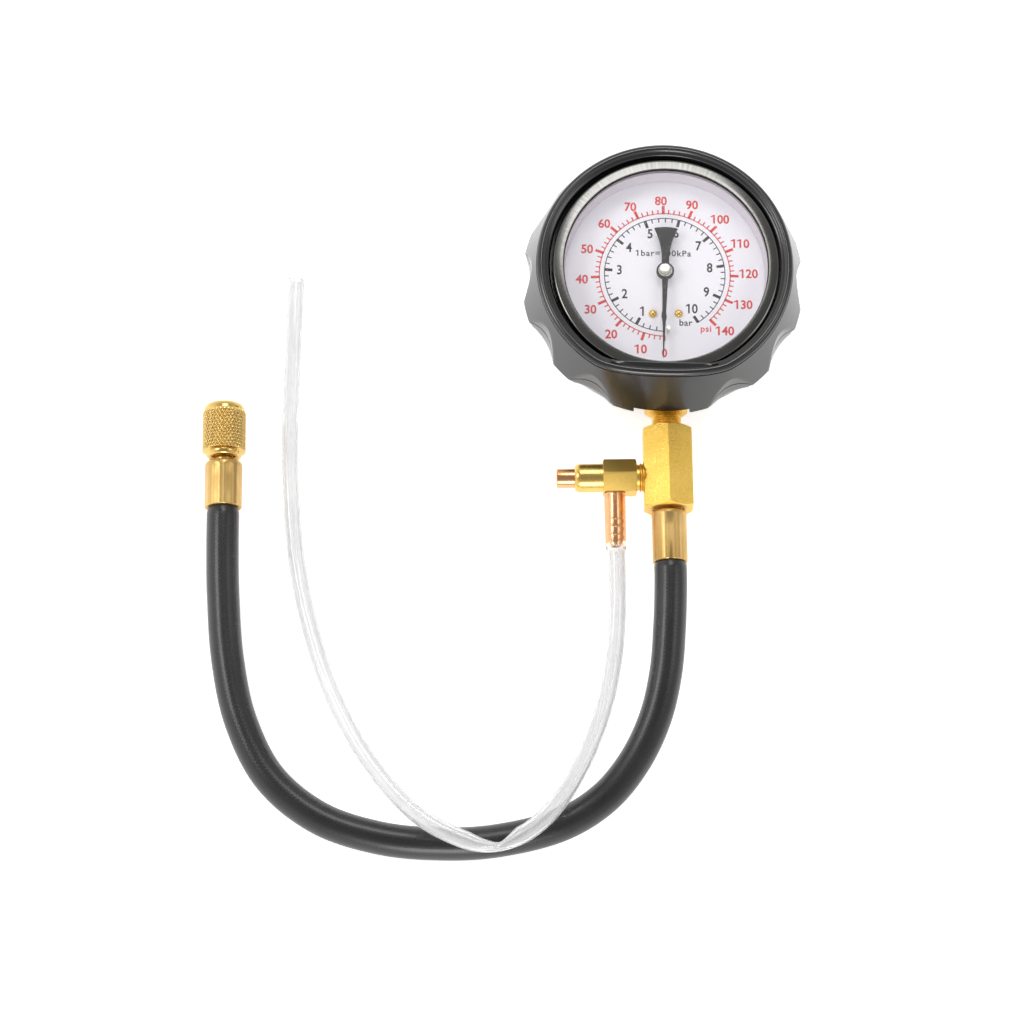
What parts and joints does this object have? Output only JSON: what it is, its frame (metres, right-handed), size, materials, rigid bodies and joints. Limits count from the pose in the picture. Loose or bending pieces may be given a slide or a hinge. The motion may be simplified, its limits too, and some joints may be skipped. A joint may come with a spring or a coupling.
{
  "type": "fuel pressure tester",
  "caption": "Dial gauge in a scalloped rubber boot, with a brass tee, a push-button bleed valve with a clear drain tube, and a black hose that ends in a knurled coupler.",
  "frame": {"origin": "where the pointer's axis meets the back of the rubber boot, which is what the gauge lies on", "axes": "+Z the way the dial faces, along the pointer's axis; the stem and the tee run along -Y; +X to the right of the dial"},
  "size_m": [0.2016, 0.2403, 0.037],
  "materials": {
    "black_rubber": "matt",
    "hose_rubber": "matt",
    "seal_rubber": "matt",
    "steel": "satin",
    "bright_steel": "polished",
    "brass": "satin",
    "copper_brass": "polished",
    "tube_bronze": "satin",
    "black_paint": "satin",
    "dial_paint": "satin",
    "pale_plastic": "matt",
    "glass": "clear",
    "clear_plastic": "clear"
  },
  "bodies": {
    "gauge": {"rubber_boot": "black_rubber", "gauge_case": "steel", "case_screw_1": "steel", "case_screw_2": "steel", "bezel_ring": "steel", "window": "glass", "window_gasket": "seal_rubber", "spacer_ring": "pale_plastic", "dial_plate": "dial_paint", "dial_screw_1": "brass", "dial_screw_2": "brass", "dial_post_1": "brass", "dial_post_2": "brass", "stop_pin": "steel", "hairspring": "steel", "bourdon_tube": "tube_bronze", "gauge_stem": "brass", "movement_plate_lower": "brass", "movement_plate_upper": "brass", "movement_column_1": "brass", "movement_column_2": "brass", "movement_column_3": "brass", "movement_screw_1": "steel", "movement_screw_2": "steel", "tee_body": "brass", "valve_body": "brass", "valve_spring": "steel", "drain_barb": "copper_brass", "drain_tube": "clear_plastic", "hose_insert": "brass", "upper_ferrule": "brass", "pressure_hose": "hose_rubber", "lower_ferrule": "brass", "coupler_insert": "brass", "coupler_seal": "seal_rubber", "depressor_pin": "steel"},
    "pointer": {"pointer": "black_paint", "pointer_bushing": "bright_steel", "pinion_arbor": "steel"},
    "sector": {"sector_gear": "brass"},
    "tip": {"tube_tip": "brass"},
    "link": {"link_arm": "steel"},
    "button": {"valve_button": "copper_brass", "valve_poppet": "brass", "poppet_seal": "seal_rubber"},
    "coupler": {"coupler_nut": "brass"}
  },
  "joints": [
    {"name": "pointer_turn", "type": "hinge", "parent": "gauge", "child": "pointer", "pos_m": [0, 0, 0.0297], "axis": [0, 0, -1], "range_deg": [0, 325.5], "stiffness_Nm_per_rad": 0.00005, "deforming": ["hairspring"]},
    {"name": "sector_turn", "type": "hinge", "parent": "gauge", "child": "sector", "pos_m": [0.01034, -0.00868, 0.0188], "axis": [0, 0, 1], "range_deg": [0, 40.7]},
    {"name": "tip_flex", "type": "hinge", "parent": "gauge", "child": "tip", "pos_m": [0.004, 0.012, 0.0191], "axis": [0, 0, 1], "range_deg": [0, 7.4], "deforming": ["bourdon_tube"]},
    {"name": "link_swing", "type": "hinge", "parent": "tip", "child": "link", "pos_m": [0.0174, -0.0115, 0.0199], "axis": [0, 0, 1], "range_deg": [0, 3.5]},
    {"name": "relief_button", "type": "slide", "parent": "gauge", "child": "button", "axis": [1, 0, 0], "range_m": [0, 0.003], "stiffness_N_per_m": 800, "springref_m": -0.002, "deforming": ["valve_spring"]},
    {"name": "coupler_spin", "type": "hinge", "parent": "gauge", "child": "coupler", "pos_m": [-0.148, -0.0474, 0.0071], "axis": [0, 1, 0], "continuous": true}
  ],
  "couplings": [
    {"joint": "sector_turn", "follows": "pointer_turn", "ratio": 0.125},
    {"joint": "tip_flex", "follows": "pointer_turn", "ratio": 0.022524},
    {"joint": "link_swing", "follows": "pointer_turn", "ratio": 0.010561}
  ]
}
